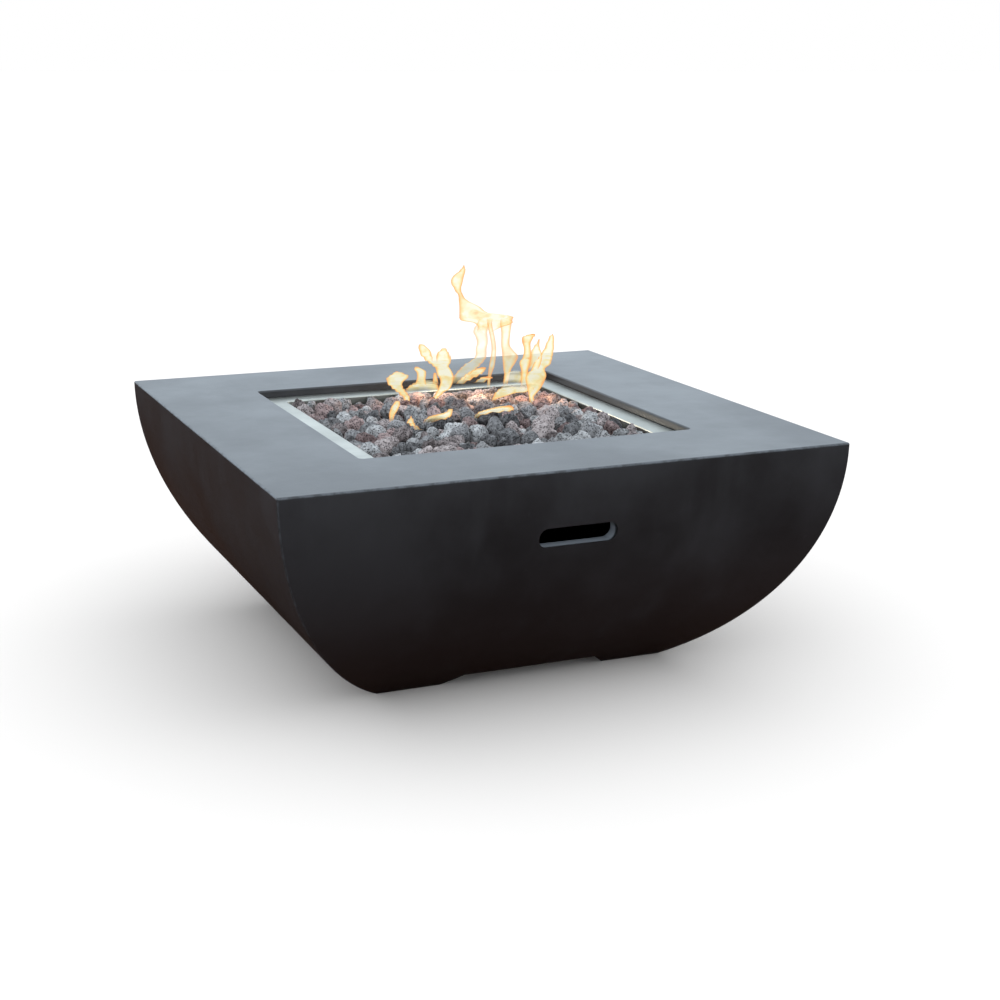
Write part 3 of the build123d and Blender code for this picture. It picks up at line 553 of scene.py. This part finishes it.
# A tongue stands at a place on the bed, is so thick, and has an outline of height, left and right
# edge in mm. Flames that stand at the same place belong together.
middle_place = (0.085, 0.117)
left_place = (0.013, 0.173)
far_left_place = (-0.046, 0.178)
right_place = (0.163, 0.067)
flame_tongues = {
    "flame_tall_head": (middle_place, 0.80, [
        (112, -14, 8), (122, -12, 30), (128, -18, 45), (133, -40, 45), (139, -42, 44),
        (144, -42, 6), (155, -42, -9), (164, -43, -28), (173, -44, -36), (184, -51, -39),
        (193, -55, -37), (202, -54, -35), (214, -41, -32), (222, -35, -34),
    ]),
    "flame_tall_left_leg": (middle_place, 0.42, [
        (26, -54, -40), (40, -50, -27), (56, -36, -9), (70, -17, 2), (84, -15, 3), (98, -13, 5),
        (114, -19, 4), (128, -12, 8), (136, -8, 8),
    ]),
    "flame_tall_middle_leg": (middle_place, 0.48, [
        (20, 4, 9), (36, 5, 10), (56, 7, 16), (83, 11, 19), (106, 8, 16), (126, 4, 12), (136, 3, 13),
    ]),
    "flame_tall_right_leg": (middle_place, 0.62, [
        (22, 30, 38), (36, 33, 40), (50, 31, 44), (61, 30, 51), (72, 29, 55), (82, 28, 47), (92, 27, 41),
        (111, 27, 42), (128, 25, 44), (136, 27, 42),
    ]),
    "flame_middle_swoosh": (middle_place, 0.82, [
        (24, -50, -40), (34, -40, -22), (44, -28, -4), (51, -13, 1), (53, -4, 2),
    ]),
    "flame_middle_low": (middle_place, 0.80, [(26, -20, -8), (31, -14, 2), (36, -6, 12), (37, 5, 12)]),
    "flame_left": (left_place, 0.84, [
        (-13, -4, 9), (0, 3, 12), (14, 11, 30), (25, 14, 35), (38, 9, 36), (50, 4, 28), (57, -5, 31),
        (65, -14, 32), (74, -15, 28),
    ]),
    "flame_left_horn": (left_place, 0.84, [
        (58, -8, 2), (70, -18, 0), (79, -22, -5), (85, -22, -12), (88, -20, -17),
    ]),
    "flame_left_horn_right": (left_place, 0.84, [(58, 8, 31), (70, 8, 29), (77, 13, 26), (81, 18, 23)]),
    "flame_far_left": (far_left_place, 0.82, [
        (-14, 16, 20), (0, 10, 20), (10, 0, 15), (18, -10, 9), (26, -17, 8), (33, -19, 16), (39, -12, 17),
        (43, -6, 6), (46, -3, 1),
    ]),
    "flame_second": (far_left_place, 0.80, [
        (20, 26, 50), (30, 31, 46), (40, 32, 47), (47, 29, 46), (51, 28, 40), (53, 29, 34),
    ]),
    "flame_left_bed": (far_left_place, 0.80, [(8, 14, 66), (16, 14, 68), (24, 24, 66), (30, 36, 60)]),
    "flame_third": (far_left_place, 0.80, [(22, 58, 68), (36, 59, 66), (44, 60, 64)]),
    "flame_right": (right_place, 0.82, [
        (-6, -16, -5), (6, -18, -10), (18, -20, -2), (28, -22, 4), (38, -24, 9), (46, -22, 10),
        (54, -14, 8), (64, -11, 17), (76, -1, 20), (88, 6, 22), (100, 11, 22), (107, 14, 22),
        (113, 19, 20),
    ]),
    "flame_right_inner": (right_place, 0.84, [
        (24, -32, -20), (48, -31, -20), (64, -34, -17), (76, -28, -15), (88, -27, -16), (98, -30, -16),
        (106, -30, -12), (110, -23, -9), (112, -13, -9),
    ]),
    "flame_right_middle": (right_place, 0.72, [
        (50, -20, -4), (62, -18, 0), (76, -16, 3), (86, -14, 0), (95, -8, -2), (103, -3, -1),
    ]),
    "flame_right_bed": (right_place, 0.80, [
        (-4, -80, -74), (6, -78, -68), (15, -73, -30), (21, -66, -10), (27, -60, -16),
    ]),
    "flame_right_back": (right_place, 0.70, [
        (28, -62, -34), (38, -60, -30), (46, -58, -30), (51, -44, -32),
    ]),
    "lick_left": ((-0.116, -0.001), 0.80, [(1, -8, -3), (13, -9, 0), (21, -7, 5), (29, -3, 8), (34, 2, 6)]),
    "lick_front_left": ((-0.104, -0.062), 0.74, [
        (-2, 2, 12), (6, -7, 0), (11, -14, -3), (17, -10, -5), (22, -8, -7),
    ]),
    "lick_middle": ((-0.065, -0.045), 0.80, [
        (4, -20, -10), (9, -17, 10), (14, -8, 22), (19, 12, 25), (25, 20, 26),
    ]),
    "lick_right": ((0.042, -0.023), 0.74, [
        (-2, -32, -27), (6, -27, -12), (11, -14, 26), (15, 1, 31), (18, 20, 28),
    ]),
    "lick_spark": ((0.042, -0.023), 0.80, [(-14, 33, 36), (-11, 31, 38), (-7, 33, 37)]),
}
sheet_rows = 44
sheet_columns = 12
hot_rim = 5.0
fade_run = 9.0
pointed_width = 9


def smooth_row(rows, share):
    """A row of the outline at a share of the way up it, on a smooth line through its rows."""
    along = share * (len(rows) - 1)
    step = min(int(along), len(rows) - 2)
    rest = along - step
    before, start, end, after = (
        rows[max(0, min(len(rows) - 1, step + offset))] for offset in (-1, 0, 1, 2)
    )
    return [
        0.5 * (2 * b + (c - a) * rest + (2 * a - 5 * b + 4 * c - d) * rest**2
               + (3 * b - 3 * c + d - a) * rest**3)
        for a, b, c, d in zip(before, start, end, after)
    ]


flame_across = Vector((cos(view_heading), sin(view_heading), 0))
flame_through = Vector((-sin(view_heading), cos(view_heading), 0))
for name, (foot, most, rows) in flame_tongues.items():
    points, faces, inside, thickness = [], [], [], []
    low_mm, top_mm = rows[0][0], rows[-1][0]
    pointed = rows[-1][2] - rows[-1][1] < pointed_width
    for row in range(sheet_rows + 1):
        up, left, right = smooth_row(rows, row / sheet_rows)
        for column in range(sheet_columns + 1):
            sideways = left + (right - left) * column / sheet_columns
            bow = 0.35 * (right - left) * sin(pi * column / sheet_columns) + 6.0 * sin(0.05 * up + left)
            spot = Vector((*foot, flange_top)) + (flame_across * sideways + flame_through * bow) * 0.001
            spot.z += up * 0.001
            points.append(spot)
            from_edge = min(sideways - left, right - sideways, top_mm - up if pointed else hot_rim)
            deep = max(0.0, min(1.0, from_edge / hot_rim))
            inside.append(deep)
            faded_top = 1.0 if pointed else (top_mm - up) / fade_run
            lifted = max(0.0, min(1.0, (up - low_mm) / fade_run, faded_top))
            edge_glow = (0.62 - 0.5 * most) * (1 - deep) * min(1.0, 2.4 * deep + 0.45)
            thickness.append((most + edge_glow) * lifted)
    width = sheet_columns + 1
    for row in range(sheet_rows):
        for column in range(sheet_columns):
            corner = row * width + column
            faces.append((corner, corner + 1, corner + width + 1, corner + width))
    sheet_mesh = bpy.data.meshes.new(name)
    sheet_mesh.from_pydata(points, [], faces)
    for label, values in (("flame_inside", inside), ("flame_thickness", thickness)):
        sheet_mesh.attributes.new(label, "FLOAT", "POINT").data.foreach_set("value", values)
    sheet_mesh.shade_smooth()
    sheet_mesh.materials.append(flame_skin)
    flame_piece = bpy.data.objects.new(name, sheet_mesh)
    bpy.context.collection.objects.link(flame_piece)

lamp_rise = 0.045
for number, (x, y, power) in enumerate(((0.085, 0.117, 0.34), (0.0, 0.165, 0.20), (0.165, 0.07, 0.26))):
    fire_lamp = bpy.data.lights.new(f"fire_lamp_{number}", "POINT")
    fire_lamp.color = (1.0, 0.50, 0.20)
    fire_lamp.energy = power
    fire_lamp.shadow_soft_size = 0.03
    fire_place = bpy.data.objects.new(f"fire_lamp_{number}", fire_lamp)
    fire_place.location = (x, y, flange_top + lamp_rise)
    fire_place.visible_glossy = False
    bpy.context.collection.objects.link(fire_place)

# The bright steel rim of the pan mirrors the flames, so a larger glow that lights the pan alone
# stands in for them.
pan_only = bpy.data.collections.new("pan_only")
pan_only.objects.link(bpy.data.objects["burner_pan"])
glow_lamp = bpy.data.lights.new("flame_glow", "POINT")
glow_lamp.color = (1.0, 0.86, 0.68)
glow_lamp.energy = 0.8
glow_lamp.shadow_soft_size = 0.06
glow_place = bpy.data.objects.new("flame_glow", glow_lamp)
glow_place.location = (0.11, 0.11, flange_top + 0.10)
glow_place.light_linking.receiver_collection = pan_only
bpy.context.collection.objects.link(glow_place)

# ---- Gas train -------------------------------------------------------------------------------
# Turned brass fittings, a drawn aluminium feed tube, a copper probe with its lead, and bright zinc
# screws. Turned parts show fine rings of tool marks; drawn parts show lines along their length.
def fitting_metal(name, colour, roughness, mark_stretch, tarnish):
    """A bare metal with tool marks that follow mark_stretch, and patches of tarnish."""
    metal = bpy.data.materials.new(name)
    metal.use_nodes = True
    nodes, links = metal.node_tree.nodes, metal.node_tree.links
    face = nodes["Principled BSDF"]
    face.inputs["Metallic"].default_value = 1.0
    spot = nodes.new("ShaderNodeNewGeometry").outputs["Position"]
    marks_pull = nodes.new("ShaderNodeMapping")
    marks_pull.inputs["Scale"].default_value = mark_stretch
    links.new(spot, marks_pull.inputs["Vector"])
    marks = nodes.new("ShaderNodeTexNoise")
    marks.inputs["Scale"].default_value = 1.0
    marks.inputs["Detail"].default_value = 3.0
    links.new(marks_pull.outputs["Vector"], marks.inputs["Vector"])
    patches = nodes.new("ShaderNodeTexNoise")
    patches.inputs["Scale"].default_value = 60.0
    patches.inputs["Detail"].default_value = 6.0
    links.new(spot, patches.inputs["Vector"])
    aged = nodes.new("ShaderNodeValToRGB")
    aged.color_ramp.elements[0].position = 0.38
    aged.color_ramp.elements[0].color = (*tarnish, 1)
    aged.color_ramp.elements[1].position = 0.60
    aged.color_ramp.elements[1].color = (*colour, 1)
    links.new(patches.outputs["Fac"], aged.inputs["Fac"])
    links.new(aged.outputs["Color"], face.inputs["Base Color"])
    sheen = nodes.new("ShaderNodeMapRange")
    sheen.inputs["To Min"].default_value = 0.75 * roughness
    sheen.inputs["To Max"].default_value = 1.30 * roughness
    links.new(marks.outputs["Fac"], sheen.inputs["Value"])
    links.new(sheen.outputs["Result"], face.inputs["Roughness"])
    ridges = nodes.new("ShaderNodeBump")
    ridges.inputs["Strength"].default_value = 0.2
    ridges.inputs["Distance"].default_value = 0.0001
    links.new(marks.outputs["Fac"], ridges.inputs["Height"])
    links.new(ridges.outputs["Normal"], face.inputs["Normal"])
    return metal


turned_upright = (300, 300, 1500)
drawn_along_x = (90, 1200, 1200)
turned_brass = fitting_metal("turned_brass", (0.60, 0.42, 0.17), 0.26, turned_upright, (0.38, 0.25, 0.10))
finish_nodes(turned_brass, "air_mixer", "gas_orifice", "feed_nut_mixer", "feed_nut_valve", "valve_body",
             "gas_inlet_fitting", "thermocouple_nut", "panel_inserts")
drawn_aluminium = fitting_metal(
    "drawn_aluminium", (0.70, 0.71, 0.73), 0.32, drawn_along_x, (0.55, 0.56, 0.58)
)
finish_nodes(drawn_aluminium, "feed_tube")
drawn_copper = fitting_metal("drawn_copper", (0.72, 0.34, 0.20), 0.28, drawn_along_x, (0.36, 0.17, 0.11))
finish_nodes(drawn_copper, "thermocouple", "thermocouple_lead")
zinc_plate = fitting_metal("zinc_plate", (0.62, 0.63, 0.66), 0.24, (1500, 700, 700), (0.48, 0.50, 0.52))
finish_nodes(zinc_plate, "burner_locknut", "panel_screws", "valve_screws", "bracket_screws",
             "bracket_nuts", "valve_stem", "valve_push_pin", "electrode_rod")
polished_evenly = (900, 900, 900)
bright_chrome = fitting_metal(
    "bright_chrome", (0.74, 0.75, 0.77), 0.10, polished_evenly, (0.66, 0.67, 0.69)
)
finish_nodes(bright_chrome, "igniter_cap")

# ---- Control knob and its marks --------------------------------------------------------------
# Black moulded phenolic with a fine spark-eroded skin, pushed on the valve stem. A white line is
# pad printed on its pointer, and the panel has a dot for off, a tall flame and a low flame.
def moulded_plastic(name, colour, roughness):
    """Moulded black plastic: an even fine texture, a little dust in it, and a soft gloss."""
    plastic = bpy.data.materials.new(name)
    plastic.use_nodes = True
    nodes, links = plastic.node_tree.nodes, plastic.node_tree.links
    face = nodes["Principled BSDF"]
    spot = nodes.new("ShaderNodeNewGeometry").outputs["Position"]
    dust = nodes.new("ShaderNodeTexNoise")
    dust.inputs["Scale"].default_value = 85.0
    dust.inputs["Detail"].default_value = 6.0
    links.new(spot, dust.inputs["Vector"])
    dusty = nodes.new("ShaderNodeValToRGB")
    dusty.color_ramp.elements[0].position = 0.45
    dusty.color_ramp.elements[0].color = (*colour, 1)
    dusty.color_ramp.elements[1].position = 0.80
    dusty.color_ramp.elements[1].color = (*[1.7 * part + 0.006 for part in colour], 1)
    links.new(dust.outputs["Fac"], dusty.inputs["Fac"])
    links.new(dusty.outputs["Color"], face.inputs["Base Color"])
    gloss = nodes.new("ShaderNodeMapRange")
    gloss.inputs["To Min"].default_value = roughness - 0.06
    gloss.inputs["To Max"].default_value = roughness + 0.10
    links.new(dust.outputs["Fac"], gloss.inputs["Value"])
    links.new(gloss.outputs["Result"], face.inputs["Roughness"])
    spark = nodes.new("ShaderNodeTexNoise")
    spark.inputs["Scale"].default_value = 2600.0
    spark.inputs["Detail"].default_value = 2.0
    links.new(spot, spark.inputs["Vector"])
    spark_bump = nodes.new("ShaderNodeBump")
    spark_bump.inputs["Strength"].default_value = 0.25
    spark_bump.inputs["Distance"].default_value = 0.00008
    links.new(spark.outputs["Fac"], spark_bump.inputs["Height"])
    links.new(spark_bump.outputs["Normal"], face.inputs["Normal"])
    return plastic


knob_black = moulded_plastic("knob_black", (0.020, 0.020, 0.021), 0.42)
finish_nodes(knob_black, "control_knob")
ink = moulded_plastic("white_ink", (0.74, 0.74, 0.72), 0.50)
dark_ink = moulded_plastic("black_ink", (0.012, 0.012, 0.013), 0.50)

knob_low, knob_high = [Vector(corner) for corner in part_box("control_knob")]
knob_middle = (knob_low + knob_high) / 2
panel_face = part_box("control_panel")[1][0]
ink_thickness = 0.00012
ink_bite = 0.00005


def printed_shape(name, face_x, outline, ink_material, body):
    """A flat print of one outline, given as y and z round it, standing proud of a face at +X."""
    print_mesh = bmesh.new()
    ring = [print_mesh.verts.new((face_x - ink_bite, y, z)) for y, z in outline]
    back = print_mesh.faces.new(ring)
    raised = bmesh.ops.extrude_face_region(print_mesh, geom=[back])["geom"]
    moved = [item for item in raised if isinstance(item, bmesh.types.BMVert)]
    bmesh.ops.translate(print_mesh, verts=moved, vec=(ink_thickness, 0, 0))
    bmesh.ops.recalc_face_normals(print_mesh, faces=print_mesh.faces)
    mesh = bpy.data.meshes.new(name)
    print_mesh.to_mesh(mesh)
    print_mesh.free()
    mesh.materials.append(ink_material)
    printed = bpy.data.objects.new(name, mesh)
    bpy.context.collection.objects.link(printed)
    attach(printed, body)


def drop_outline(y, z, half_wide, tall):
    """A flame-shaped drop with its point up."""
    turns = [2 * pi * step / 40 for step in range(40)]
    return [
        (y + 1.6 * half_wide * sin(angle) * sin(angle / 2)**1.6, z + 0.5 * tall * cos(angle))
        for angle in turns
    ]


def round_outline(y, z, radius):
    """A round dot."""
    turns = [2 * pi * step / 32 for step in range(32)]
    return [(y + radius * cos(angle), z + radius * sin(angle)) for angle in turns]


pointer_start = knob_middle.y - 0.0145
pointer_end = knob_middle.y - 0.0035
line_half = 0.0008
line_ends = [
    (pointer_start, knob_middle.z - line_half), (pointer_end, knob_middle.z - line_half),
    (pointer_end, knob_middle.z + line_half), (pointer_start, knob_middle.z + line_half),
]
printed_shape("knob_pointer_line", knob_high.x, line_ends, ink, "knob")
mark_reach = 0.0255
off_dot = round_outline(knob_middle.y, knob_middle.z + mark_reach, 0.0016)
tall_flame = drop_outline(knob_middle.y - mark_reach, knob_middle.z, 0.0022, 0.0085)
low_flame = drop_outline(knob_middle.y, knob_middle.z - mark_reach, 0.0013, 0.0048)
printed_shape("mark_off", panel_face, off_dot, dark_ink, "bowl")
printed_shape("mark_high", panel_face, tall_flame, dark_ink, "bowl")
printed_shape("mark_low", panel_face, low_flame, dark_ink, "bowl")

# ---- Igniter ---------------------------------------------------------------------------------
# A battery igniter in a black nylon barrel, with a chromed screw cap round a black push button. A
# four-pointed spark is printed over it. The cell inside has a plain blue jacket; its steel ends take the
# same blue finish here.
nylon = moulded_plastic("black_nylon", (0.026, 0.026, 0.028), 0.46)
finish_nodes(nylon, "igniter_body", "igniter_nut", "igniter_button")
silicone = moulded_plastic("silicone_jacket", (0.046, 0.044, 0.043), 0.60)
finish_nodes(silicone, "igniter_wire")
jacket = moulded_plastic("cell_jacket", (0.030, 0.075, 0.210), 0.26)
finish_nodes(jacket, "igniter_battery")
cap_low, cap_high = [Vector(corner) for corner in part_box("igniter_cap")]
spark_y = (cap_low.y + cap_high.y) / 2
spark_z = (cap_low.z + cap_high.z) / 2 + mark_reach
spark_points = []
for step in range(8):
    spark_reach = 0.0042 if step % 2 == 0 else 0.0013
    angle = pi * step / 4
    spark_points.append((spark_y + spark_reach * cos(angle), spark_z + spark_reach * sin(angle)))
printed_shape("mark_spark", panel_face, spark_points, dark_ink, "bowl")

# ---- Electrode insulator ---------------------------------------------------------------------
# Slip-cast alumina with a thin clear glaze, ivory, a little smoked in cloudy patches all over.
glazed = bpy.data.materials.new("glazed_alumina")
glazed.use_nodes = True
glaze_nodes, glaze_links = glazed.node_tree.nodes, glazed.node_tree.links
glaze = glaze_nodes["Principled BSDF"]
glaze.inputs["Roughness"].default_value = 0.16
smoke = glaze_nodes.new("ShaderNodeTexNoise")
smoke.inputs["Scale"].default_value = 130.0
smoke.inputs["Detail"].default_value = 5.0
glaze_links.new(glaze_nodes.new("ShaderNodeNewGeometry").outputs["Position"], smoke.inputs["Vector"])
smoked = glaze_nodes.new("ShaderNodeValToRGB")
smoked.color_ramp.elements[0].position = 0.36
smoked.color_ramp.elements[0].color = (0.50, 0.44, 0.36, 1)
smoked.color_ramp.elements[1].position = 0.56
smoked.color_ramp.elements[1].color = (0.80, 0.77, 0.70, 1)
glaze_links.new(smoke.outputs["Fac"], smoked.inputs["Fac"])
glaze_links.new(smoked.outputs["Color"], glaze.inputs["Base Color"])
finish_nodes(glazed, "electrode_insulator")
